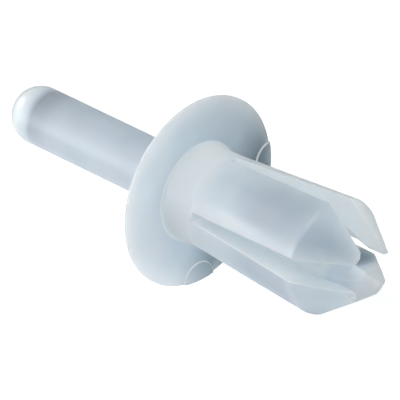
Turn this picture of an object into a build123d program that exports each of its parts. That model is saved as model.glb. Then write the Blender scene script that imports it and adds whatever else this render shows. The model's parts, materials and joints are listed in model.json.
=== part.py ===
"""Split-shank push rivet: a moulded body and the drive pin that locks it.

Both pieces are drawn upright, about a vertical axis with the head's underside at
height 0 and the leg tips above it. The finished rivet is then laid on its side, where
it comes to rest on the head's rim and on two legs, either side of a slot.
"""
from build123d import *
import os
from math import atan2, degrees, radians, sin, sqrt

os.makedirs("parts", exist_ok=True)

# ---- Head ------------------------------------------------------------------
HEAD_DIA = 12.7
HEAD_HEIGHT = 1.3        # underside to crown
HEAD_RIM = 0.14          # thickness left at the rim
HEAD_RIM_ROUND = 0.1     # rounding of the rim's upper edge
HEAD_LAND = 0.7          # flat ring round the pin hole, on the crown

# ---- Shank -----------------------------------------------------------------
COLLAR_DIA = 6.4         # whole part of the shank, which fills the panel hole
COLLAR_LENGTH = 2.35
COLLAR_STEP = 0.04       # step from the collar down to the legs' roots
COLLAR_FILLET = 0.22     # root of the collar in the head
SHANK_LENGTH = 14.8      # underside of the head to the leg tips
FLARE_DIA = 7.7          # widest point of the legs
TAPER_LENGTH = 3.0       # lead-in cone, from the widest point to the tips
TIP_DIA = 3.78
TIP_WALL = 0.39

# ---- Slots -----------------------------------------------------------------
SLOTS = 2                # cuts right through, so twice as many legs
SLOT_START = 2.6         # underside of the head to the slots' closed ends
SLOT_ROOT_WIDTH = 0.56
SLOT_TIP_WIDTH = 1.84

# ---- Pads left by the ejector pins on the head's underside ---------------------
EJECTOR_PADS = 2         # each by a slot: the one underneath and its neighbour
EJECTOR_DIA = 2.5
EJECTOR_PAD = 0.14       # how far a pad stands proud
EJECTOR_INSET = 0.05     # rim to the pad's centre; the rim cuts the pad off
EJECTOR_TURN = 6.4       # degrees from the slot

# ---- Pin and the bore that guides it -----------------------------------------
PIN_DIA = 3.8
RUNNING_CLEARANCE = 0.03  # radial, pin in bore
SEAT_CLEARANCE = 0.05     # along the axis, pin nose to leg ramps when driven home
PIN_START = 0.3           # full diameter already in the hole before driving
NOSE_LENGTH = 2.4
NOSE_ROUND = 0.2
HOLE_CHAMFER = 0.12
RAMP_LENGTH = 1.5         # bore narrowing inside the legs
TIP_LAND = 1.3            # straight bore from the ramp to the tips

# ---- Worked out from the sizes above -----------------------------------------
head_r = HEAD_DIA / 2
collar_r = COLLAR_DIA / 2
flare_r = FLARE_DIA / 2
tip_r = TIP_DIA / 2
pin_r = PIN_DIA / 2
bore_r = pin_r + RUNNING_CLEARANCE
tip_bore_r = tip_r - TIP_WALL
flare_z = SHANK_LENGTH - TAPER_LENGTH
ramp_end_z = SHANK_LENGTH - TIP_LAND
ramp_z = ramp_end_z - RAMP_LENGTH
ramp_slope = (bore_r - tip_bore_r) / RAMP_LENGTH

home_z = ramp_z - SEAT_CLEARANCE          # end of the full diameter, driven home
start_z = PIN_START - HEAD_HEIGHT         # the same point before driving
stroke = home_z - start_z
barrel_length = home_z + HEAD_HEIGHT      # home leaves only the dome above the head
nose_r = pin_r - ramp_slope * NOSE_LENGTH


def slot_width(z):
    """Width of the wedge-shaped slots at a height."""
    share = (z - SLOT_START) / (SHANK_LENGTH - SLOT_START)
    return SLOT_ROOT_WIDTH + share * (SLOT_TIP_WIDTH - SLOT_ROOT_WIDTH)


def turned(profile):
    """Solid of revolution from a closed half profile on the XZ plane.

    Its seam is turned to the middle of a leg, clear of the slots and pads.
    """
    return revolve(profile, Axis.Z).rotate(Axis.Z, 90 / SLOTS)


def make_underside_cut():
    """Takes the underside down to height 0, round the pads that stand proud of it."""
    over = 1.0
    upright = (Align.CENTER, Align.CENTER, Align.MIN)
    cut = Cylinder(head_r + over, EJECTOR_PAD + over, align=upright)
    pad = Cylinder(EJECTOR_DIA / 2, EJECTOR_PAD + over, align=upright)
    pad = Pos(head_r - EJECTOR_INSET, 0, 0) * pad
    for i in range(EJECTOR_PADS):
        cut -= pad.rotate(Axis.Z, EJECTOR_TURN + 180 / SLOTS * i)
    return cut


def make_head():
    land_r = bore_r + HEAD_LAND
    rise = HEAD_HEIGHT - HEAD_RIM
    # The crown is a shallow arc, level where it meets the flat land.
    arc_r = ((head_r - land_r) ** 2 + rise**2) / (2 * rise)
    with BuildSketch(Plane.XZ) as half:
        with BuildLine():
            Line((0, EJECTOR_PAD), (head_r, EJECTOR_PAD))
            Line((head_r, EJECTOR_PAD), (head_r, -HEAD_RIM))
            RadiusArc((head_r, -HEAD_RIM), (land_r, -HEAD_HEIGHT), arc_r)
            Line((land_r, -HEAD_HEIGHT), (0, -HEAD_HEIGHT))
            Line((0, -HEAD_HEIGHT), (0, EJECTOR_PAD))
        make_face()
        rim = half.vertices().filter_by(lambda v: abs(v.X - head_r) < 1e-6)
        fillet(rim.sort_by(Axis.Y)[0], min(HEAD_RIM_ROUND, 0.8 * HEAD_RIM))
    return turned(half.sketch) - make_underside_cut()


def make_shank():
    """Collar and flared legs as one turned blank, sunk to the crown so it fuses."""
    leg_root_r = collar_r - COLLAR_STEP
    with BuildSketch(Plane.XZ) as half:
        with BuildLine():
            Polyline(
                (0, -HEAD_HEIGHT / 2),
                (collar_r, -HEAD_HEIGHT / 2),
                (collar_r, COLLAR_LENGTH),
                (leg_root_r, COLLAR_LENGTH + COLLAR_STEP),
                (flare_r, flare_z),
                (tip_r, SHANK_LENGTH),
                (0, SHANK_LENGTH),
                close=True,
            )
        make_face()
    return turned(half.sketch)


def make_bore():
    """Guide bore with the ramps that the pin's nose comes to rest on."""
    over = 1.0
    with BuildSketch(Plane.XZ) as half:
        with BuildLine():
            Polyline(
                (0, -HEAD_HEIGHT - over),
                (bore_r + HOLE_CHAMFER + over, -HEAD_HEIGHT - over),
                (bore_r, -HEAD_HEIGHT + HOLE_CHAMFER),
                (bore_r, ramp_z),
                (tip_bore_r, ramp_end_z),
                (tip_bore_r, SHANK_LENGTH + over),
                (0, SHANK_LENGTH + over),
                close=True,
            )
        make_face()
    return turned(half.sketch)


def make_slots():
    """Wedge cuts through the axis, wider at the tips, so that they draw."""
    over = 1.0
    root = slot_width(SLOT_START) / 2
    mouth = slot_width(SHANK_LENGTH + over) / 2
    with BuildSketch(Plane.YZ) as wedge:
        with BuildLine():
            Polyline(
                (-root, SLOT_START),
                (root, SLOT_START),
                (mouth, SHANK_LENGTH + over),
                (-mouth, SHANK_LENGTH + over),
                close=True,
            )
        make_face()
    cut = extrude(wedge.sketch, FLARE_DIA, both=True)
    return [cut.rotate(Axis.Z, 180 / SLOTS * i) for i in range(SLOTS)]


def make_body():
    blank = make_head() + make_shank()
    corner = blank.edges().filter_by(
        lambda e: abs(e.center().Z) < 1e-6 and abs(e.radius - collar_r) < 1e-6
        if e.geom_type == GeomType.CIRCLE
        else False
    )
    blank = fillet(corner, COLLAR_FILLET)
    return blank - make_bore() - make_slots()


def make_drive_pin():
    """Pin before driving: its nose is in the head, its dome out behind."""
    nose_end = start_z + NOSE_LENGTH
    barrel_end = start_z - barrel_length
    lean = sin(radians(45))
    with BuildSketch(Plane.XZ) as half:
        with BuildLine():
            Line((0, nose_end), (nose_r, nose_end))
            Line((nose_r, nose_end), (pin_r, start_z))
            Line((pin_r, start_z), (pin_r, barrel_end))
            ThreePointArc(
                (pin_r, barrel_end),
                (pin_r * lean, barrel_end - pin_r * lean),
                (0, barrel_end - pin_r),
            )
            Line((0, barrel_end - pin_r), (0, nose_end))
        make_face()
        tip = half.vertices().filter_by(lambda v: abs(v.X - nose_r) < 1e-6)
        fillet(tip, NOSE_ROUND)
    return turned(half.sketch)


def lay_down(shape):
    """Lay the rivet on its side with a slot underneath and the tips towards +X."""
    half_slot = slot_width(flare_z) / 2
    leg_corner = sqrt(flare_r**2 - half_slot**2)
    # The head rests on the pad by that slot, where the rim cuts it off.
    dip = degrees(atan2(head_r - leg_corner, flare_z - EJECTOR_PAD))
    return shape.rotate(Axis.Y, 90 + dip)


body = lay_down(make_body())
drive_pin = lay_down(make_drive_pin())

# Origin: middle of the footprint, on the surface that it lies on.
box = Compound([body, drive_pin]).bounding_box()
centring = Pos(-box.center().X, -box.center().Y, -box.min.Z)
body = centring * body
drive_pin = centring * drive_pin

body.label = "body"
drive_pin.label = "drive_pin"
export_step(body, "parts/body.step")
export_step(drive_pin, "parts/drive_pin.step")

print("stroke", round(stroke, 4), "mm")
for piece in (body, drive_pin):
    size = piece.bounding_box()
    print(piece.label, "valid", piece.is_valid, "solids", len(piece.solids()))
    print("  volume", round(piece.volume, 2), "mm3")
    print("  from", [round(v, 3) for v in size.min], "to", [round(v, 3) for v in size.max])
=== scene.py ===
"""Split-shank push rivet in natural nylon: a moulded body and its drive pin.

Both pieces are drawn about the rivet's own axis, +Z from the crown to the leg tips,
with the head's underside at height 0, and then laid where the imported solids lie.
"""
import json
from collections import namedtuple
from math import acos, asin, atan2, cos, hypot, pi, radians, sin, sqrt, tau

import bmesh
import bpy
from mathutils import Euler, Matrix, Vector


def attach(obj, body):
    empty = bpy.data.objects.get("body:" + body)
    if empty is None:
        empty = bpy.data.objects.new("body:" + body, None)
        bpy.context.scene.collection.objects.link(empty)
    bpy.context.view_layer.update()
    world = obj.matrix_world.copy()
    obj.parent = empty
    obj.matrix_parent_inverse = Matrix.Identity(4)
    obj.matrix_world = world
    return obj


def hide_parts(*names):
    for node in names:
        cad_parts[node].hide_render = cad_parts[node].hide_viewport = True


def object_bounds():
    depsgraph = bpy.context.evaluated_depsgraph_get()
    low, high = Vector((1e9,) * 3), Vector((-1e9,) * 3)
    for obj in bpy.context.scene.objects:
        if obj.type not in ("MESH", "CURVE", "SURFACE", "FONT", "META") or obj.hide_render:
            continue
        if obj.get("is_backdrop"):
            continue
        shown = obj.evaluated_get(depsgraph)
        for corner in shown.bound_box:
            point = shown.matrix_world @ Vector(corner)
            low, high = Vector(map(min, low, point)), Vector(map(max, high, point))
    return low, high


bl_info = {
    "name": "Push rivet",
    "version": (1, 0, 0),
    "blender": (4, 5, 0),
    "location": "View3D > Sidebar > Rivet",
    "description": "Builds a split-shank push rivet over its packed solids",
    "category": "Object",
}

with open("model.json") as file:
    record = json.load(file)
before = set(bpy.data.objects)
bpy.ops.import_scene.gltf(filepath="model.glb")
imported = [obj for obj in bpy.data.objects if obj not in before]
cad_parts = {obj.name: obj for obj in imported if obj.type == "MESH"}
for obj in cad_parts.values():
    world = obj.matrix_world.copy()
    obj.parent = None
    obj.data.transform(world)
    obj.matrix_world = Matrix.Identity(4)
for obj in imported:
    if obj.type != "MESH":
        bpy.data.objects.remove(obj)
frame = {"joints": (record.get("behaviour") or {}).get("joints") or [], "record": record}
SOLID_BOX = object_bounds()

MM = 0.001
WELD = 1e-6                 # points nearer than this become one
CREASE = radians(38)        # edges sharper than this stay crisp

# Faces along each form.
EDGE_STEPS = 4              # across a rounded edge
LEG_STEPS = 16              # along a leg, apart from its corners
FLOOR_STEPS = 4             # across a slot's floor
BEND_STEPS = 8              # down the soft bend over the collar
CROWN_STEPS = 12            # over the head's crown
PAD_STEPS = 28              # round a pad
PIN_STEPS = 16              # along the pin's barrel, over its dome and round a quarter

# Directions about the rivet's own axis, for the light and shade painted onto the nylon. They were
# set
# from the photograph: its camera stands at CAMERA_SIDE, so terms that use them paint its light and
# shade.
CAMERA_SIDE = radians(239)
NEAR_LEG = radians(225)
# Sides of the head's painted shade and painted light, and of the dome's painted highlight.
HEAD_SHADED_SIDE = radians(59)
HEAD_LIT_SIDE = radians(300)
DOME_HIGHLIGHT_SIDE = radians(245)

# The first three are the nylon's own colours; the last two are the colours of painted shade and
# painted light.
NYLON_COLOURS = ("Clear", "Milky", "Warm", "Deep", "Pale")
NYLON_SKIN = {
    "Subsurface Weight": 1.0,
    "Subsurface Radius": (0.85, 1.0, 1.1),
    "IOR": 1.53,
    "Transmission Weight": 0.1,
    "Coat Weight": 0.6,
    "Coat Roughness": 0.3,
}
SMOOTHER, ROUGHER = 0.04, 0.05      # the clouding's part in the roughness
GRAIN_STRENGTH = 0.25
GRAIN_DEPTH = 0.012 * MM

KEY_SIZE, SIDE_SIZE, FAR_SIZE = 0.04, 0.07, 0.16    # across the lights, in metres
WHITE = (1, 1, 1)

# One section across a leg; half is half the slot's width, edge its rounding.
Level = namedtuple("Level", "z outer inner half edge")


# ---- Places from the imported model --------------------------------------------


def rivet_placement():
    """Matrix from the rivet's own axes to the row frame."""
    record = frame["record"]
    joint = next(j for j in frame["joints"] if j["name"] == "pin_drive")
    hole = next(m for m in record["mounts"] if m["name"] == "panel_hole")
    along = Vector(joint["axis"]).normalized()
    side = Vector((0, 1, 0))
    down = side.cross(along)
    origin = Vector(hole["pos_m"]) - along * hole["dims"]["length_mm"] * MM / 2
    turn = Matrix((down, side, along)).transposed().to_4x4()
    return Matrix.Translation(origin) @ turn


# ---- Profiles ------------------------------------------------------------------


def round_corners(profile, radii, steps=5):
    """Polyline in (radius, height) with the corners named in radii turned into arcs."""
    points = [Vector(p) for p in profile]
    rounded = []
    for i, corner in enumerate(points):
        radius = radii.get(i, 0.0)
        if not radius:
            rounded.append(corner)
            continue
        back = (points[i - 1] - corner).normalized()
        ahead = (points[i + 1] - corner).normalized()
        half_angle = acos(max(-1.0, min(1.0, back.dot(ahead)))) / 2
        reach = radius / sin(half_angle)
        centre = corner + (back + ahead).normalized() * reach
        tangent = radius / (sin(half_angle) / cos(half_angle))
        first = corner + back * tangent - centre
        last = corner + ahead * tangent - centre
        sweep = pi - 2 * half_angle
        for k in range(steps + 1):
            share = k / steps
            a = sin((1 - share) * sweep) / sin(sweep)
            b = sin(share * sweep) / sin(sweep)
            rounded.append(centre + first * a + last * b)
    return rounded


def ease(low, high, value):
    """0 below low, 1 above high and a soft S between."""
    share = max(0.0, min(1.0, (value - low) / (high - low)))
    return share * share * (3 - 2 * share)


def radius_at(profile, height):
    """Radius of a rising profile at a height."""
    for low, high in zip(profile, profile[1:]):
        if low.y <= height <= high.y and high.y > low.y:
            share = (height - low.y) / (high.y - low.y)
            return low.x + share * (high.x - low.x)
    return profile[-1].x if height > profile[-1].y else profile[0].x


# ---- Skinning ---------------------------------------------------------------------


def skin(bm, first, second, flip=False):
    """Quads between two rows of as many points."""
    low = [bm.verts.new(p) for p in first]
    high = [bm.verts.new(p) for p in second]
    for i in range(len(low) - 1):
        quad = [low[i], low[i + 1], high[i + 1], high[i]]
        bm.faces.new(quad[::-1] if flip else quad)


def plate(bm, outline, flip=False):
    """One flat face over a closed outline."""
    loop = [bm.verts.new(p) for p in outline]
    bm.faces.new(loop[::-1] if flip else loop)


def ring(radius, height, angles):
    return [Vector((radius * cos(a), radius * sin(a), height)) for a in angles]


def mirrored(points):
    return [Vector((p.x, -p.y, p.z)) for p in points]


def close_sector(bm, name):
    """Welds a sector's strips and returns it as a mesh."""
    bmesh.ops.remove_doubles(bm, verts=bm.verts, dist=WELD)
    bmesh.ops.dissolve_degenerate(bm, dist=WELD, edges=bm.edges)
    mesh = bpy.data.meshes.new(name)
    bm.to_mesh(mesh)
    bm.free()
    return mesh


# ---- Copies about the axis (Geometry Nodes) -------------------------------------------


def copies_tree():
    """Node tree that turns sectors into a closed piece of evenly spaced copies.

    The first copies are of the sector that the modifier stands on, as many as Marked
    says, and the rest are of the plain one.
    """
    tree = bpy.data.node_groups.new("copies_about_axis", "GeometryNodeTree")
    face = tree.interface
    face.new_socket("Geometry", in_out="INPUT", socket_type="NodeSocketGeometry")
    plain = face.new_socket("Plain", in_out="INPUT", socket_type="NodeSocketObject")
    count = face.new_socket("Copies", in_out="INPUT", socket_type="NodeSocketInt")
    marked = face.new_socket("Marked", in_out="INPUT", socket_type="NodeSocketInt")
    weld = face.new_socket("Weld", in_out="INPUT", socket_type="NodeSocketFloat")
    finish = face.new_socket("Finish", in_out="INPUT", socket_type="NodeSocketMaterial")
    face.new_socket("Geometry", in_out="OUTPUT", socket_type="NodeSocketGeometry")
    count.default_value = 4
    weld.default_value = WELD

    make = tree.nodes.new
    join = tree.links.new
    given = make("NodeGroupInput")
    points = make("GeometryNodePoints")
    index = make("GeometryNodeInputIndex")
    step = make("ShaderNodeMath")
    angle = make("ShaderNodeMath")
    turn = make("FunctionNodeAxisAngleToRotation")
    plain_sector = make("GeometryNodeObjectInfo")
    is_marked = make("FunctionNodeCompare")
    is_plain = make("FunctionNodeBooleanMath")
    marked_copies = make("GeometryNodeInstanceOnPoints")
    plain_copies = make("GeometryNodeInstanceOnPoints")
    all_copies = make("GeometryNodeJoinGeometry")
    real = make("GeometryNodeRealizeInstances")
    welded = make("GeometryNodeMergeByDistance")
    finished = make("GeometryNodeSetMaterial")
    result = make("NodeGroupOutput")
    step.operation = "DIVIDE"
    step.inputs[0].default_value = tau
    angle.operation = "MULTIPLY"
    turn.inputs["Axis"].default_value = (0, 0, 1)
    is_marked.data_type = "INT"
    is_marked.operation = "LESS_THAN"
    is_plain.operation = "NOT"

    join(given.outputs["Copies"], points.inputs["Count"])
    join(given.outputs["Copies"], step.inputs[1])
    join(index.outputs["Index"], angle.inputs[0])
    join(step.outputs[0], angle.inputs[1])
    join(angle.outputs[0], turn.inputs["Angle"])
    join(given.outputs["Plain"], plain_sector.inputs["Object"])
    join(index.outputs["Index"], is_marked.inputs[2])
    join(given.outputs["Marked"], is_marked.inputs[3])
    join(is_marked.outputs["Result"], is_plain.inputs[0])
    join(given.outputs["Geometry"], marked_copies.inputs["Instance"])
    join(is_marked.outputs["Result"], marked_copies.inputs["Selection"])
    join(plain_sector.outputs["Geometry"], plain_copies.inputs["Instance"])
    join(is_plain.outputs[0], plain_copies.inputs["Selection"])
    for copies in (marked_copies, plain_copies):
        join(points.outputs[0], copies.inputs["Points"])
        join(turn.outputs[0], copies.inputs["Rotation"])
        join(copies.outputs[0], all_copies.inputs[0])
    join(all_copies.outputs[0], real.inputs[0])
    join(real.outputs[0], welded.inputs["Geometry"])
    join(given.outputs["Weld"], welded.inputs["Distance"])
    join(welded.outputs[0], finished.inputs["Geometry"])
    join(given.outputs["Finish"], finished.inputs["Material"])
    join(finished.outputs[0], result.inputs[0])
    sockets = (plain, count, marked, weld, finish)
    return tree, {socket.name: socket.identifier for socket in sockets}


def turn_copies(name, copies, finish, tone, sector, plain=None, marked=None):
    """Closed piece from evenly spaced copies of a sector, laid in the row frame.

    With a plain sector, only the first copies, as many as marked, are of the other one.
    The function passed in gives the light and shade painted on at a point: -1 for the darkest
    painted shade, 1 for the brightest painted light.
    """
    tree, sockets = copies_tree()
    seed = bpy.data.objects.new(name + "_sector", sector)
    other = bpy.data.objects.new(name + "_plain", plain or sector)
    for part in (seed, other):
        bpy.context.scene.collection.objects.link(part)
    modifier = seed.modifiers.new("copies", "NODES")
    modifier.node_group = tree
    modifier[sockets["Plain"]] = other
    modifier[sockets["Copies"]] = copies
    modifier[sockets["Marked"]] = copies if marked is None else marked
    modifier[sockets["Weld"]] = WELD
    modifier[sockets["Finish"]] = finish
    bpy.context.view_layer.update()
    evaluated = seed.evaluated_get(bpy.context.evaluated_depsgraph_get())
    mesh = bpy.data.meshes.new_from_object(evaluated)
    bpy.data.objects.remove(seed)
    bpy.data.objects.remove(other)

    mesh.name = name
    painted_light_and_shade_values = mesh.attributes.new("tone", "FLOAT", "POINT")
    painted_light_and_shade_values.data.foreach_set("value", [tone(v.co) for v in mesh.vertices])
    mesh.transform(rivet_placement())
    mesh.shade_smooth()
    mesh.set_sharp_from_angle(angle=CREASE)
    piece = bpy.data.objects.new(name, mesh)
    bpy.context.scene.collection.objects.link(piece)
    check_closed(piece)
    return piece


def check_closed(piece):
    """Stops the script if a piece is open or any of it is inside out."""
    bm = bmesh.new()
    bm.from_mesh(piece.data)
    open_edges = [e for e in bm.edges if len(e.link_faces) != 2]
    turned_edges = [e for e in bm.edges if not e.is_contiguous]
    volume = bm.calc_volume(signed=True)
    bm.free()
    if open_edges or turned_edges:
        counts = f"{len(open_edges)} open and {len(turned_edges)} turned edges"
        raise RuntimeError(f"{piece.name} has {counts}")
    if volume <= 0:
        raise RuntimeError(f"{piece.name} is inside out")


# ---- Natural nylon (shader nodes) -------------------------------------------------------


def nylon_cloud_and_painted_shading_group():
    """Shared effect: the slow milky clouding and fine mould grain of natural nylon, with painted
    shade and painted light laid over the colour.
    """
    group = bpy.data.node_groups.new("nylon_cloud_and_painted_shading", "ShaderNodeTree")
    face = group.interface
    face.new_socket("Vector", in_out="INPUT", socket_type="NodeSocketVector")
    for name, value in (("Cloud Size", 0.004), ("Grain Size", 0.00012)):
        socket = face.new_socket(name, in_out="INPUT", socket_type="NodeSocketFloat")
        socket.default_value = value
    face.new_socket("Tone", in_out="INPUT", socket_type="NodeSocketFloat")
    for name in NYLON_COLOURS:
        face.new_socket(name, in_out="INPUT", socket_type="NodeSocketColor")
    face.new_socket("Color", in_out="OUTPUT", socket_type="NodeSocketColor")
    face.new_socket("Cloud", in_out="OUTPUT", socket_type="NodeSocketFloat")
    face.new_socket("Height", in_out="OUTPUT", socket_type="NodeSocketFloat")

    make = group.nodes.new
    join = group.links.new
    given = make("NodeGroupInput")
    result = make("NodeGroupOutput")

    def scaled_noise(size, detail, roughness):
        """Noise whose features are about one size across."""
        scale = make("ShaderNodeMath")
        scale.operation = "DIVIDE"
        scale.inputs[0].default_value = 1.0
        join(size, scale.inputs[1])
        noise = make("ShaderNodeTexNoise")
        noise.inputs["Detail"].default_value = detail
        noise.inputs["Roughness"].default_value = roughness
        join(given.outputs["Vector"], noise.inputs["Vector"])
        join(scale.outputs[0], noise.inputs["Scale"])
        return noise

    cloud = scaled_noise(given.outputs["Cloud Size"], 2.0, 0.45)
    grain = scaled_noise(given.outputs["Grain Size"], 2.0, 0.5)
    milky = make("ShaderNodeMapRange")
    milky.inputs["From Min"].default_value = 0.35
    milky.inputs["From Max"].default_value = 0.65
    join(cloud.outputs["Fac"], milky.inputs["Value"])
    body = make("ShaderNodeMix")
    body.data_type = "RGBA"
    join(milky.outputs["Result"], body.inputs["Factor"])
    join(given.outputs["Clear"], body.inputs["A"])
    join(given.outputs["Milky"], body.inputs["B"])
    # A little of the warmer tint drifts through the second colour of the noise.
    tint = make("ShaderNodeSeparateColor")
    join(cloud.outputs["Color"], tint.inputs["Color"])
    warmth = make("ShaderNodeMapRange")
    warmth.inputs["From Min"].default_value = 0.4
    warmth.inputs["From Max"].default_value = 0.75
    join(tint.outputs["Green"], warmth.inputs["Value"])
    blend = make("ShaderNodeMix")
    blend.data_type = "RGBA"
    join(warmth.outputs["Result"], blend.inputs["Factor"])
    join(body.outputs["Result"], blend.inputs["A"])
    join(given.outputs["Warm"], blend.inputs["B"])
    # Painted shade towards -1 and painted light towards 1, as the mesh's attribute says.
    colour = blend.outputs["Result"]
    for name, full in (("Deep", -1.0), ("Pale", 1.0)):
        share = make("ShaderNodeMapRange")
        share.inputs["From Max"].default_value = full
        join(given.outputs["Tone"], share.inputs["Value"])
        colour_with_painted_shading = make("ShaderNodeMix")
        colour_with_painted_shading.data_type = "RGBA"
        join(share.outputs["Result"], colour_with_painted_shading.inputs["Factor"])
        join(colour, colour_with_painted_shading.inputs["A"])
        join(given.outputs[name], colour_with_painted_shading.inputs["B"])
        colour = colour_with_painted_shading.outputs["Result"]
    join(colour, result.inputs["Color"])
    join(milky.outputs["Result"], result.inputs["Cloud"])
    join(grain.outputs["Fac"], result.inputs["Height"])
    return group


def natural_nylon(name, look):
    """Milky, slightly blue nylon with a satin moulded skin."""
    material = bpy.data.materials.new(name)
    material.use_nodes = True
    nodes = material.node_tree.nodes
    join = material.node_tree.links.new
    shader = nodes["Principled BSDF"]
    place = nodes.new("ShaderNodeTexCoord")
    cloud = nodes.new("ShaderNodeGroup")
    cloud.node_tree = bpy.data.node_groups.get("nylon_cloud_and_painted_shading") or nylon_cloud_and_painted_shading_group()
    cloud.inputs["Cloud Size"].default_value = look.cloud_size
    cloud.inputs["Grain Size"].default_value = look.grain_size
    for name in NYLON_COLOURS:
        cloud.inputs[name].default_value = (*getattr(look, name.lower()), 1)
    # Read the mesh's attribute of painted light and shade, which darkens or lightens the base
    # colour.
    tone = nodes.new("ShaderNodeAttribute")
    tone.attribute_name = "tone"
    join(tone.outputs["Fac"], cloud.inputs["Tone"])
    join(place.outputs["Object"], cloud.inputs["Vector"])
    join(cloud.outputs["Color"], shader.inputs["Base Color"])

    gloss = nodes.new("ShaderNodeMapRange")
    gloss.inputs["To Min"].default_value = look.roughness - SMOOTHER
    gloss.inputs["To Max"].default_value = look.roughness + ROUGHER
    join(cloud.outputs["Cloud"], gloss.inputs["Value"])
    join(gloss.outputs["Result"], shader.inputs["Roughness"])

    bump = nodes.new("ShaderNodeBump")
    bump.inputs["Strength"].default_value = GRAIN_STRENGTH
    bump.inputs["Distance"].default_value = GRAIN_DEPTH
    join(cloud.outputs["Height"], bump.inputs["Height"])
    join(bump.outputs["Normal"], shader.inputs["Normal"])

    for name, value in NYLON_SKIN.items():
        shader.inputs[name].default_value = value
    shader.inputs["Subsurface Scale"].default_value = look.glow_depth

    # Some of the light goes on through the nylon, so its own shadows are thin.
    clear = nodes.new("ShaderNodeBsdfTransparent")
    seen = nodes.new("ShaderNodeLightPath")
    through = nodes.new("ShaderNodeMath")
    through.operation = "MULTIPLY"
    through.inputs[1].default_value = look.shadow_light
    join(seen.outputs["Is Shadow Ray"], through.inputs[0])
    mix = nodes.new("ShaderNodeMixShader")
    join(through.outputs[0], mix.inputs[0])
    join(shader.outputs[0], mix.inputs[1])
    join(clear.outputs[0], mix.inputs[2])
    join(mix.outputs[0], nodes["Material Output"].inputs["Surface"])
    return material


# ---- Sizes a user may change ----------------------------------------------------------------


def length(name, description, default):
    return bpy.props.FloatProperty(
        name=name, description=description, default=default * MM, min=0, unit="LENGTH", precision=5
    )


def colour(name, description, default):
    return bpy.props.FloatVectorProperty(
        name=name, description=description, default=default, min=0, max=1, size=3, subtype="COLOR"
    )


def power(name, description, default):
    return bpy.props.FloatProperty(
        name=name, description=description, default=default, min=0, unit="POWER"
    )


class RivetBodySizes(bpy.types.PropertyGroup):
    """Sizes of the moulded body."""

    head_dia: length("Head diameter", "Across the head's rim", 12.7)
    head_height: length("Head height", "Underside of the head to the crown", 1.3)
    rim: length("Rim thickness", "Thickness left at the head's rim", 0.14)
    rim_round: length("Rim rounding", "Radius of the rim's upper edge", 0.1)
    land: length("Crown land", "Flat ring round the pin hole", 0.7)
    collar_dia: length("Collar diameter", "Whole part of the shank, in the panel hole", 6.4)
    collar_length: length("Collar length", "Underside of the head to the legs' flare", 2.35)
    collar_fillet: length("Collar fillet", "Radius of the collar's root in the head", 0.22)
    shank_length: length("Shank length", "Underside of the head to the leg tips", 14.8)
    flare_dia: length("Flare diameter", "Widest point of the legs", 7.7)
    flare_round: length("Flare rounding", "Radius of the legs' widest edge", 0.55)
    taper_length: length("Taper length", "Lead-in cone at the tips", 3.0)
    tip_dia: length("Tip diameter", "Across the legs' ends", 3.78)
    tip_wall: length("Tip wall", "Thickness of a leg at its end", 0.39)
    tip_round: length("Tip rounding", "Radius of the edges at the legs' ends", 0.05)
    slot_start: length("Slot start", "Underside of the head to the slots' closed ends", 2.6)
    slot_root: length("Slot width at root", "Width of a slot where it starts", 0.56)
    slot_tip: length("Slot width at tip", "Width of a slot at the leg tips", 1.84)
    slot_edge: length("Slot edge rounding", "Radius of the edges along the slots", 0.07)
    bore_dia: length("Bore diameter", "Hole that guides the pin", 3.86)
    hole_chamfer: length("Hole chamfer", "Bevel of the hole in the crown", 0.12)
    ramp_length: length("Ramp length", "Part of the bore that narrows inside the legs", 1.5)
    tip_land: length("Tip land", "Straight bore from the ramps to the tips", 1.3)
    pad_dia: length("Pad diameter", "Ejector pads on the head's underside", 2.5)
    pad_height: length("Pad height", "How far a pad stands proud", 0.14)
    pad_inset: length("Pad inset", "Rim to a pad's centre", 0.05)
    pad_turn: bpy.props.FloatProperty(
        name="Pad turn", description="Angle of a pad from its slot", default=radians(6.4),
        subtype="ANGLE", unit="ROTATION",
    )
    pads: bpy.props.IntProperty(
        name="Pads", description="Ejector pads, by the first of the slots", default=2,
        min=0, max=6,
    )
    legs: bpy.props.IntProperty(
        name="Legs", description="Number of legs, and of slots between them", default=4,
        min=3, max=6,
    )


class RivetPinSizes(bpy.types.PropertyGroup):
    """Sizes of the drive pin."""

    dia: length("Pin diameter", "Across the barrel", 3.8)
    start: length("Start height", "Full diameter's end, from the head's underside", -1.0)
    barrel: length("Barrel length", "Full diameter, from the nose to the dome", 13.25)
    nose: length("Nose length", "Cone that spreads the legs", 2.4)
    nose_dia: length("Nose diameter", "Across the cone's end", 2.424)
    nose_round: length("Nose rounding", "Radius of the nose's edge", 0.2)


class RivetNylonLook(bpy.types.PropertyGroup):
    """Colours and finish of the nylon."""

    clear: colour("Clear", "Colour where the nylon is clearer", (0.61, 0.69, 0.765))
    milky: colour("Milky", "Colour where the nylon is milkier", (0.70, 0.775, 0.855))
    warm: colour("Warm", "Colour of the faint warmer drift", (0.72, 0.76, 0.84))
    # The colour of painted shade, not of clearer nylon.
    deep: colour("Deep", "Colour where the nylon is clearest of all", (0.12, 0.155, 0.18))
    # The colour of painted light.
    pale: colour("Pale", "Colour where light comes out of the nylon", (0.86, 0.94, 1.0))
    cloud_size: length("Cloud size", "Size of the slow clouding", 3.5)
    grain_size: length("Grain size", "Size of the mould's grain", 0.09)
    glow_depth: length("Glow depth", "How far light travels under the skin", 4.0)
    roughness: bpy.props.FloatProperty(
        name="Roughness", description="Roughness of the satin skin", default=0.5, min=0, max=1,
        subtype="FACTOR",
    )
    shadow_light: bpy.props.FloatProperty(
        name="Light in shadows", description="Share of the light let through by each surface",
        default=0.66, min=0, max=1, subtype="FACTOR",
    )


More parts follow.
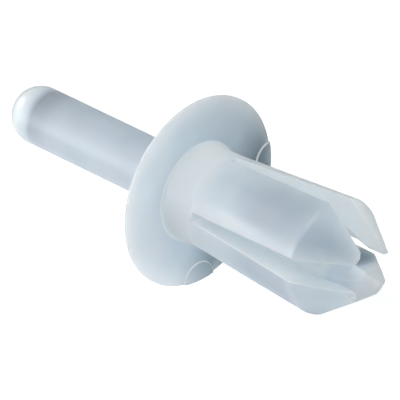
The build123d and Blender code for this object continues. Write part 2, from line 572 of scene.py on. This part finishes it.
class RivetStageLook(bpy.types.PropertyGroup):
    """Camera, lights and floor."""

    aim: bpy.props.FloatVectorProperty(
        name="Aim", description="Point that the camera looks at", size=3, subtype="TRANSLATION",
        default=(0.000358, 0.000214, 0.005594), precision=6,
    )
    azimuth: bpy.props.FloatProperty(
        name="Azimuth", description="Camera's angle round the rivet", default=radians(46.024),
        subtype="ANGLE", unit="ROTATION",
    )
    elevation: bpy.props.FloatProperty(
        name="Elevation", description="Camera's angle above the floor", default=radians(15.017),
        subtype="ANGLE", unit="ROTATION",
    )
    roll: bpy.props.FloatProperty(
        name="Roll", description="Camera's turn about its own axis", default=radians(4.165),
        subtype="ANGLE", unit="ROTATION",
    )
    distance: bpy.props.FloatProperty(
        name="Distance", description="Camera to the aim", default=0.43491, min=0.01, unit="LENGTH"
    )
    lens: bpy.props.FloatProperty(
        name="Lens", description="Focal length on a 36 mm sensor", default=625.48, min=10,
        unit="CAMERA",
    )
    floor_size: bpy.props.FloatProperty(
        name="Floor size", description="Side of the square floor", default=1.6, min=0.1,
        unit="LENGTH",
    )
    floor_colour: colour("Floor", "Colour of the floor", (0.86, 0.87, 0.88))
    floor_glow: bpy.props.FloatProperty(
        name="Floor glow", description="White added to the floor as the camera sees it",
        default=0.6, min=0, max=1, subtype="FACTOR",
    )
    key_power: power("Key light", "Power of the near light above the camera", 0.0188)
    side_power: power("Side light", "Power of the near, low light from the left", 0.031)
    left_power: power("Left rim light", "Power of the light from behind on the left", 0.44)
    right_power: power("Right rim light", "Power of the light from the right", 0.39)
    front_power: power("Front light", "Power of the light in front on the right", 0.09)
    back_power: power("Back light", "Power of the low light from behind on the right", 0.085)
    cool: colour("Cool light", "Colour of the lights on the right", (0.89, 0.975, 1.0))
    near_distance: length("Near distance", "The near lights to the aim", 70)
    far_distance: length("Far distance", "The rim lights to the aim", 350)
    surround: bpy.props.FloatProperty(
        name="Surround", description="How bright reflections see the white all round",
        default=0.3, min=0, max=1, subtype="FACTOR",
    )


# ---- Moulded body ---------------------------------------------------------------------------


class RivetBody(bpy.types.Operator):
    """Makes the moulded body: head, collar and the flared legs."""

    bl_idname = "rivet.body"
    bl_label = "Moulded body"

    # Places of the rows round half a leg, from the slot to the middle of the leg.
    ARC_SHARES = (0.03, 0.16, 0.3, 0.44, 0.58, 0.72, 0.86, 1.0)

    def execute(self, context):
        size = context.scene.rivet_body
        self.size = size
        self.half_turn = pi / size.legs
        self.outline = self.leg_outline()
        padded = self.sector("padded_sector", True)
        plain = self.sector("plain_sector", False)
        finish = natural_nylon("natural_nylon_body", context.scene.rivet_nylon)
        piece = turn_copies(
            "moulded_body", size.legs, finish, self.tone, padded, plain, size.pads
        )
        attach(piece, "body")
        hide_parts("body")
        return {"FINISHED"}

    def sector(self, name, padded):
        """Mesh from the middle of one leg to the middle of the next."""
        bm = bmesh.new()
        rim_row = self.head(bm, padded)
        outer_row, inner_row = self.legs(bm)
        self.collar(bm, outer_row, rim_row)
        self.bore(bm, inner_row)
        return close_sector(bm, name)

    # -- legs --

    def half_slot(self, height):
        size = self.size
        share = (height - size.slot_start) / (size.shank_length - size.slot_start)
        return (size.slot_root + share * (size.slot_tip - size.slot_root)) / 2

    def across(self, level, y, mitre=1, drop=0):
        """Points over a slot's wall, from the outside of the leg to the bore.

        mitre turns the rounded edges out into the leg, and drop turns them down below
        the slot's floor.
        """
        bends = [pi / 2 * k / EDGE_STEPS for k in range(EDGE_STEPS + 1)]
        rounds = [(level.edge * (1 - sin(b)), level.edge * (1 - cos(b))) for b in bends]
        outside, inside = [], []
        for out, depth in rounds:
            at, z = y + mitre * out, level.z - drop * out
            outer = radius_at(self.outline, z) if drop else level.outer
            outside.append(Vector((sqrt(outer**2 - at**2) - depth, at, z)))
            inside.append(Vector((sqrt(level.inner**2 - at**2) + depth, at, z)))
        first, last = outside[-1], inside[-1]
        wall = [first.lerp(last, share) for share in (0.1, 0.5, 0.9)]
        return outside + wall + inside[::-1]

    def leg_row(self, level, drop=0):
        """Half a leg's section: middle of its outside, round the wall, middle of its inside."""
        wall = self.across(level, level.half, drop=drop)
        outer = radius_at(self.outline, wall[0].z) if drop else level.outer
        rows = []
        for radius, start in ((outer, wall[0]), (level.inner, wall[-1])):
            first = atan2(start.y, start.x)
            angles = [first + s * (self.half_turn - first) for s in self.ARC_SHARES]
            rows.append(ring(radius, start.z, angles))
        return rows[0][::-1] + wall + rows[1]

    def leg_outline(self):
        """Outside of the legs, as a profile."""
        size = self.size
        flare_z = size.shank_length - size.taper_length
        # The moulded step is so slight and blunt that the legs start at the collar's size.
        root = (size.collar_dia / 2, size.collar_length)
        outside = [root, (size.flare_dia / 2, flare_z), (size.tip_dia / 2, size.shank_length)]
        return round_corners(outside, {1: size.flare_round})

    def tone(self, point):
        """Painted light on the collar, the slots' walls and the pads' sides, painted shade on most
        of the rest.

        What differs round the axis or from leg to leg is the photograph's light and shade, and
        not a difference in the nylon.
        """
        angle = atan2(point.y, point.x)
        # Painted light on the collar, strongest on its sides seen edge-on from the camera.
        collar = 0.5 + 0.5 * abs(sin(angle - CAMERA_SIDE))
        if point.z > self.size.slot_start - 0.2 * MM:
            return self.leg_painted_light_and_shade(point, angle, collar)
        return self.head_painted_light_and_shade(point, angle, collar)

    def leg_painted_light_and_shade(self, point, angle, collar):
        """Painted light on the walls and bore, and painted shade on an outside that darkens away
        from the collar.
        """
        z = point.z
        beside = abs(point.x) - self.half_slot(z)
        inner = 1
        if point.x > 0 and point.y > 0.5 * MM:
            # The far leg: painted shade where the other legs stand before it in the photograph.
            patch = ease(10 * MM, 11 * MM, z) * ease(13.2 * MM, 12.2 * MM, z)
            inner -= (1 + 0.8 * ease(0.12 * MM, 0.04 * MM, beside)) * patch
        # Another leg's inside: painted shade towards its tip.
        if point.x > 0 and point.y < 0:
            inner -= 0.7 * ease(9.5 * MM, 13.5 * MM, z)

        # Painted light near the collar and on the tapers, painted shade along the legs, more of it
        # on the leg turned to the camera; the leg at -x, +y is painted lighter.
        facing = max(0, cos(angle - NEAR_LEG))
        away = 0.9 if point.x < 0 and point.y > 0 else 0
        outside = collar * ease(3.8 * MM, 1.8 * MM, z)
        outside -= (0.3 + 0.1 * facing - away) * ease(3 * MM, 8.5 * MM, z)
        outside += (0.5 - 0.35 * facing) * ease(10.8 * MM, 12.4 * MM, z)
        outside -= 0.1 * facing * ease(12.6 * MM, 14.4 * MM, z)
        if point.x < 0 and point.y < 0:
            # The near leg: painted light along its edge by the slot, fading up the leg.
            edge = 0.5 * ease(1.2 * MM, 0.3 * MM, beside)
            outside += edge * (1 - 0.7 * ease(6 * MM, 10 * MM, z))

        depth = radius_at(self.outline, z) - hypot(point.x, point.y)
        wall = ease(0, 0.03 * MM, depth)
        return wall * inner + (1 - wall) * outside

    def head_painted_light_and_shade(self, point, angle, collar):
        """A head with a painted shadow on the side away from the camera, and painted light on the
        pads' sides and the collar's root.
        """
        size = self.size
        radius, z = hypot(point.x, point.y), point.z
        reach = radius / size.head_dia * 2
        # Painted light on one side of the head, and a painted shadow of the shank, darkest out to
        # the rim, on the side away from the camera.
        side_shading = 0.3 * reach * cos(angle - HEAD_LIT_SIDE) - 0.03
        side_shading -= ease(0.1, 0.85, reach * cos(angle - HEAD_SHADED_SIDE))
        # Painted highlights on the pads' sides and painted light on the collar's root.
        pad = ease(0, 0.012 * MM, z) * ease(size.pad_height, size.pad_height - 0.01 * MM, z)
        flat = pad + (1 - pad) * side_shading
        root = ease(3.3 * MM, 3.2 * MM, radius) * ease(-0.2 * MM, 0, z)
        return collar * root + (1 - root) * flat

    def leg_levels(self):
        """Sections of the legs, from the slots' floor up."""
        size = self.size
        ramp_end = size.shank_length - size.tip_land
        ramp = ramp_end - size.ramp_length
        outside = self.outline
        tip_bore = size.tip_dia / 2 - size.tip_wall
        inside = [(size.bore_dia / 2, 0), (size.bore_dia / 2, ramp)]
        inside += [(tip_bore, ramp_end), (tip_bore, size.shank_length)]
        inside = round_corners(inside, {1: 0.15 * MM, 2: 0.15 * MM}, 3)
        top = size.shank_length - size.tip_round
        span = top - size.slot_start
        heights = {size.slot_start, size.slot_start + 0.1 * MM, top}
        heights |= {size.slot_start + span * k / LEG_STEPS for k in range(1, LEG_STEPS)}
        heights |= {p.y for p in outside if size.slot_start < p.y < top}
        heights |= {p.y for p in inside if size.slot_start < p.y < top}
        heights |= {outside[1].y - 0.06 * MM, outside[-2].y + 0.06 * MM}
        spaced = []
        for z in sorted(heights):
            if not spaced or z - spaced[-1] > 0.004 * MM:
                spaced.append(z)
        edge = size.slot_edge
        levels = [
            Level(z, radius_at(outside, z), radius_at(inside, z), self.half_slot(z), edge)
            for z in spaced
        ]
        bends = [pi / 2 * k / EDGE_STEPS for k in range(1, EDGE_STEPS + 1)]
        shrinks = [(size.tip_round * sin(b), size.tip_round * (1 - cos(b))) for b in bends]
        shrinks.append((size.tip_round, size.tip_round + 0.015 * MM))
        for rise, shrink in shrinks:
            z = top + rise
            levels.append(Level(
                z, radius_at(outside, z) - shrink, radius_at(inside, z) + shrink,
                self.half_slot(z) + shrink, max(edge - shrink, 0.02 * MM),
            ))
        return levels

    def legs(self, bm):
        """Two half legs with the slot between them. Returns the rows below its floor."""
        levels = self.leg_levels()
        rows = [self.leg_row(levels[0], drop=1)] + [self.leg_row(v) for v in levels[1:]]
        for low, high in zip(rows, rows[1:]):
            skin(bm, low, high, flip=True)
            skin(bm, mirrored(low), mirrored(high))
        plate(bm, rows[-1], flip=True)
        plate(bm, mirrored(rows[-1]))

        floor = levels[0]
        lines = [self.across(floor, floor.half, mitre=1, drop=1)]
        for k in range(1, FLOOR_STEPS):
            y = floor.half * (1 - 2 * k / FLOOR_STEPS)
            lines.append(self.across(floor, y, mitre=0, drop=1))
        lines.append(self.across(floor, -floor.half, mitre=-1, drop=1))
        for one, other in zip(lines, lines[1:]):
            skin(bm, one, other)

        arc = len(self.ARC_SHARES)
        outside = rows[0][:arc] + [line[0] for line in lines]
        outside += mirrored(rows[0][:arc])[::-1]
        inside = rows[0][::-1][:arc] + [line[-1] for line in lines]
        inside += mirrored(rows[0][::-1][:arc])[::-1]
        return outside, inside

    # -- collar, bore and head --

    def collar(self, bm, row, rim_row):
        size = self.size
        angles = [atan2(p.y, p.x) for p in row]
        root = size.collar_dia / 2
        flare_z = size.shank_length - size.taper_length
        slope = (size.flare_dia / 2 - root) / (flare_z - size.collar_length)
        # The flare starts in a long soft bend that ends just below the slots.
        top = size.slot_start - size.slot_edge - 0.02 * MM
        bend = 1.4 * MM
        profile = []
        for k in range(BEND_STEPS + 1):
            share = k / BEND_STEPS
            fall = slope * bend * (share - share**2 / 2)
            radius = root + slope * (top - size.collar_length) - fall
            profile.append((radius, top - bend * share))
        profile += [(root, 0.5 * MM), (root, 0), (root + size.collar_fillet, 0)]
        profile += [(root + share * MM, 0) for share in (0.5, 0.8, 1.1)]
        profile = round_corners(profile, {BEND_STEPS + 2: size.collar_fillet}, 9)
        lines = [row] + [ring(p.x, p.y, angles) for p in profile]
        for high, low in zip(lines, lines[1:]):
            skin(bm, high, low)
        plate(bm, rim_row + lines[-1])

    def bore(self, bm, row):
        size = self.size
        angles = [atan2(p.y, p.x) for p in row]
        radius = size.bore_dia / 2
        crown = -size.head_height
        bevel = size.hole_chamfer
        profile = [(radius, 1 * MM), (radius, crown + bevel), (radius + bevel, crown)]
        profile += [(radius + bevel + 0.08 * MM, crown)]
        profile = round_corners(profile, {1: 0.04 * MM, 2: 0.04 * MM}, 3)
        lines = [row] + [ring(p.x, p.y, angles) for p in profile]
        for high, low in zip(lines, lines[1:]):
            skin(bm, high, low, flip=True)
        plate(bm, self.crown_row + lines[-1], flip=True)

    def pad_bands(self, reach):
        """Rows round a pad's edge, from the underside up to its top, ending at the rim."""
        size = self.size
        centre = size.head_dia / 2 - size.pad_inset
        tall = size.pad_height
        steps = ((0.06, 0), (0.03, 0), (0.008, 0.012), (0, 0.04))
        steps = [(o * MM, z * MM) for o, z in steps]
        steps += [(0, tall - 0.03 * MM), (-0.009 * MM, tall - 0.009 * MM)]
        steps += [(-0.03 * MM, tall), (-0.06 * MM, tall)]
        turn = Matrix.Rotation(size.pad_turn, 3, "Z")
        bands = []
        for offset, height in steps:
            radius = size.pad_dia / 2 + offset
            cut = (reach**2 - centre**2 - radius**2) / (2 * centre * radius)
            first = acos(cut)
            span = tau - 2 * first
            band = []
            for k in range(PAD_STEPS + 1):
                a = -first - span * k / PAD_STEPS
                band.append(turn @ Vector((centre + radius * cos(a), radius * sin(a), height)))
            bands.append(band)
        return bands

    def pad_columns(self, bands):
        """(angle, height) round the rim: up to the pad, over it and on, as three lists."""
        def angle(point):
            return atan2(point.y, point.x)

        def spread(first, last, count):
            return [first + (last - first) * k / count for k in range(count + 1)]

        low_side = [(angle(band[0]), band[0].z) for band in bands]
        high_side = [(angle(band[-1]), band[-1].z) for band in bands]
        tops = spread(low_side[-1][0], high_side[-1][0], 9)[1:-1]
        before = [(a, 0.0) for a in spread(-self.half_turn, low_side[0][0], 12)[:-1]]
        after = [(a, 0.0) for a in spread(high_side[0][0], self.half_turn, 9)[1:]]
        over = low_side + [(a, self.size.pad_height) for a in tops] + high_side[::-1]
        return before, over, after

    def head(self, bm, padded):
        """Rim, crown and pad. Returns the underside's outer row for the collar."""
        size = self.size
        radius = size.head_dia / 2
        reach = radius - 0.08 * MM
        bands = self.pad_bands(reach)
        before, over, after = self.pad_columns(bands)
        columns = before + over + after
        if not padded:
            columns = [(a, 0.0) for a, z in columns]
        angles = [a for a, z in columns]

        def rim_line(r, dz):
            return [Vector((r * cos(a), r * sin(a), z + dz)) for a, z in columns]

        soft = 0.03 * MM
        lines = [rim_line(reach, 0)]
        for k in range(4):
            b = pi / 2 * k / 3
            lines.append(rim_line(radius - soft + soft * sin(b), soft * cos(b) - soft))

        rise = size.head_height - size.rim
        land = size.bore_dia / 2 + size.land
        arc = ((radius - land) ** 2 + rise**2) / (2 * rise)
        top = -size.head_height + arc
        sweep = asin((radius - land) / arc)
        profile = [(radius, -size.rim * 0.22), (radius, -size.rim)]
        for k in range(CROWN_STEPS - 1, -1, -1):
            a = sweep * k / CROWN_STEPS
            profile.append((land + arc * sin(a), top - arc * cos(a)))
        profile.append((land - 0.08 * MM, -size.head_height))
        profile = round_corners(profile, {1: size.rim_round})
        lines += [ring(p.x, p.y, angles) for p in profile]
        for high, low in zip(lines, lines[1:]):
            skin(bm, high, low, flip=True)
        self.crown_row = lines[-1]
        if not padded:
            return lines[0]

        # The pad's sides and flat top, and the outline of the underside round it.
        for one, other in zip(bands, bands[1:]):
            skin(bm, one, other, flip=True)
        edge = len(bands) - 1
        pad_rim = lines[0][len(before) + edge:len(before) + len(over) - edge]
        plate(bm, pad_rim + bands[-1][::-1][1:-1])
        left = lines[0][:len(before) + 1]
        right = lines[0][-(len(after) + 1):]
        return left + bands[0][1:-1] + right


# ---- Drive pin --------------------------------------------------------------------------------


class RivetPin(bpy.types.Operator):
    """Makes the drive pin: domed barrel and the cone that spreads the legs."""

    bl_idname = "rivet.pin"
    bl_label = "Drive pin"

    def execute(self, context):
        size = context.scene.rivet_pin
        radius = size.dia / 2
        nose_end = size.start + size.nose
        nose = size.nose_dia / 2
        dome = size.start - size.barrel
        shares = [k / PIN_STEPS for k in range(PIN_STEPS + 1)]
        quarter = [pi / 2 * share for share in shares]
        profile = [(0, nose_end), (nose * 0.6, nose_end), (nose, nose_end)]
        profile += [(radius, size.start - size.barrel * share) for share in shares]
        profile = round_corners(profile, {2: size.nose_round, 3: 0.4 * MM})
        profile += [Vector((radius * cos(a), dome - radius * sin(a))) for a in quarter[1:]]
        bm = bmesh.new()
        for high, low in zip(profile, profile[1:]):
            skin(bm, ring(high.x, high.y, quarter), ring(low.x, low.y, quarter), flip=True)
        sector = close_sector(bm, "pin_sector")
        finish = natural_nylon("natural_nylon_pin", context.scene.rivet_nylon)
        piece = turn_copies("domed_drive_pin", 4, finish, self.tone, sector)
        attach(piece, "drive_pin")
        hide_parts("drive_pin")
        return {"FINISHED"}

    def tone(self, point):
        """Painted highlight on the dome, painted shade in a band round its root and on the barrel's
        side towards the camera.
        """
        size = bpy.context.scene.rivet_pin
        dome = size.start - size.barrel
        angle = atan2(point.y, point.x)
        # A band of painted shade round the dome's root.
        band = ease(dome, dome + 0.7 * MM, point.z)
        band -= ease(dome + 0.9 * MM, dome + 3.2 * MM, point.z)
        band *= 0.7 - 0.3 * cos(angle)
        # Painted highlight on the dome, strongest on one side.
        pale = ease(dome + 0.7 * MM, dome - 0.7 * MM, point.z)
        pale *= ease(dome - 1.5 * MM, dome - 0.4 * MM, point.z)
        pale *= 0.55 + 0.45 * cos(angle - DOME_HIGHLIGHT_SIDE)
        # Painted shade on the barrel, on the side nearest the camera.
        barrel = -0.25 * max(0, cos(angle - NEAR_LEG))
        return pale + (1 - pale) * barrel - 0.4 * band


# ---- Stage --------------------------------------------------------------------------------------


class RivetStage(bpy.types.Operator):
    """Makes the floor, the soft lights and the camera."""

    bl_idname = "rivet.stage"
    bl_label = "Stage"

    def execute(self, context):
        look = context.scene.rivet_stage
        self.floor(look)
        self.world(context.scene, look)
        near, far = look.near_distance, look.far_distance
        cool = look.cool
        for light in (
            ("key_light", look.key_power, KEY_SIZE, near, -20, 60, WHITE),
            ("side_light", look.side_power, SIDE_SIZE, near, -90, 5, WHITE),
            ("left_rim_light", look.left_power, FAR_SIZE, far, -120, 30, WHITE),
            ("right_rim_light", look.right_power, FAR_SIZE, far, 90, 30, cool),
            ("front_light", look.front_power, FAR_SIZE, far, 45, 45, WHITE),
            ("back_light", look.back_power, FAR_SIZE, far, 140, 25, cool),
        ):
            self.soft_light(look, *light)
        self.camera(context.scene, look)
        context.scene.view_settings.view_transform = "Standard"
        return {"FINISHED"}

    def floor(self, look):
        half = look.floor_size / 2
        mesh = bpy.data.meshes.new("floor")
        corners = [(-half, -half, 0), (half, -half, 0), (half, half, 0), (-half, half, 0)]
        mesh.from_pydata(corners, [], [(0, 1, 2, 3)])
        floor = bpy.data.objects.new("floor", mesh)
        bpy.context.scene.collection.objects.link(floor)
        material = bpy.data.materials.new("pale_floor")
        material.use_nodes = True
        nodes = material.node_tree.nodes
        join = material.node_tree.links.new
        nodes.remove(nodes["Principled BSDF"])
        matt = nodes.new("ShaderNodeBsdfDiffuse")
        matt.inputs["Color"].default_value = (*look.floor_colour, 1)
        glow = nodes.new("ShaderNodeEmission")
        level = self.seen_level(material.node_tree, look, look.floor_glow)
        join(level, glow.inputs["Strength"])
        total = nodes.new("ShaderNodeAddShader")
        join(matt.outputs[0], total.inputs[0])
        join(glow.outputs[0], total.inputs[1])
        join(total.outputs[0], nodes["Material Output"].inputs["Surface"])
        mesh.materials.append(material)
        floor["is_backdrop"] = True

    def world(self, scene, look):
        """Plain white for the camera and a dimmer white for what reflections see."""
        world = bpy.data.worlds.new("soft_white")
        world.use_nodes = True
        scene.world = world
        nodes = world.node_tree.nodes
        white = nodes["Background"]
        white.inputs["Color"].default_value = (1, 1, 1, 1)
        level = self.seen_level(world.node_tree, look, 1.0)
        world.node_tree.links.new(level, white.inputs["Strength"])

    def seen_level(self, tree, look, full):
        """Level of white: full for the camera, less for reflections, none as light."""
        seen = tree.nodes.new("ShaderNodeLightPath")
        either = tree.nodes.new("ShaderNodeMath")
        either.operation = "MAXIMUM"
        tree.links.new(seen.outputs["Is Glossy Ray"], either.inputs[0])
        tree.links.new(seen.outputs["Is Transmission Ray"], either.inputs[1])
        total = tree.nodes.new("ShaderNodeMath")
        total.operation = "MULTIPLY_ADD"
        total.inputs[1].default_value = look.surround
        tree.links.new(either.outputs[0], total.inputs[0])
        tree.links.new(seen.outputs["Is Camera Ray"], total.inputs[2])
        level = tree.nodes.new("ShaderNodeMath")
        level.operation = "MULTIPLY"
        level.inputs[1].default_value = full
        tree.links.new(total.outputs[0], level.inputs[0])
        return level.outputs[0]

    def soft_light(self, look, name, power, size, distance, turn, height, tint):
        """A round soft light, at angles from the camera's azimuth and from the floor."""
        azimuth, rise = look.azimuth + radians(turn), radians(height)
        level = distance * cos(rise)
        place = (level * sin(azimuth), -level * cos(azimuth), distance * sin(rise))
        lamp = bpy.data.lights.new(name, "AREA")
        lamp.energy = power
        lamp.color = tint
        lamp.shape = "DISK"
        lamp.size = size
        light = bpy.data.objects.new(name, lamp)
        bpy.context.scene.collection.objects.link(light)
        light.location = place
        aim = Vector(look.aim) - Vector(place)
        light.rotation_euler = aim.to_track_quat("-Z", "Y").to_euler()

    def camera(self, scene, look):
        lens = bpy.data.cameras.new("camera")
        lens.lens = look.lens
        lens.sensor_width = 36
        lens.clip_start = 0.01
        lens.clip_end = 20
        camera = bpy.data.objects.new("camera", lens)
        scene.collection.objects.link(camera)
        level = cos(look.elevation)
        back = Vector((
            sin(look.azimuth) * level, -cos(look.azimuth) * level, sin(look.elevation)
        ))
        camera.location = Vector(look.aim) + back * look.distance
        upright = Euler((pi / 2 - look.elevation, 0, look.azimuth)).to_matrix()
        # The roll leans the camera's top to its right.
        camera.rotation_euler = (upright @ Matrix.Rotation(-look.roll, 3, "Z")).to_euler()
        scene.camera = camera


# ---- Panel ---------------------------------------------------------------------------------------


class RivetPanel(bpy.types.Panel):
    """Lists the rivet's pieces and their sizes."""

    bl_idname = "VIEW3D_PT_rivet"
    bl_label = "Push rivet"
    bl_space_type = "VIEW_3D"
    bl_region_type = "UI"
    bl_category = "Rivet"

    def draw(self, context):
        for operator, group in PIECES:
            box = self.layout.box()
            box.operator(operator.bl_idname)
            self.settings(box, context.scene, group)
        box = self.layout.box()
        box.label(text="Nylon")
        self.settings(box, context.scene, "rivet_nylon")

    def settings(self, box, scene, group):
        for name in GROUPS[group].__annotations__:
            box.prop(getattr(scene, group), name)


GROUPS = {
    "rivet_body": RivetBodySizes,
    "rivet_pin": RivetPinSizes,
    "rivet_nylon": RivetNylonLook,
    "rivet_stage": RivetStageLook,
}
PIECES = (
    (RivetBody, "rivet_body"),
    (RivetPin, "rivet_pin"),
    (RivetStage, "rivet_stage"),
)
CLASSES = (*GROUPS.values(), *(operator for operator, group in PIECES), RivetPanel)


def register():
    for item in CLASSES:
        bpy.utils.register_class(item)
    for name, group in GROUPS.items():
        setattr(bpy.types.Scene, name, bpy.props.PointerProperty(type=group))


def unregister():
    for name in GROUPS:
        delattr(bpy.types.Scene, name)
    for item in reversed(CLASSES):
        bpy.utils.unregister_class(item)


def main():
    register()
    bpy.ops.rivet.body()
    bpy.ops.rivet.pin()
    bpy.ops.rivet.stage()
    boxes = {"solids": SOLID_BOX, "visual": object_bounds()}
    boxes = {k: [[float(v) for v in corner] for corner in box] for k, box in boxes.items()}


if __name__ == "__main__":
    main()
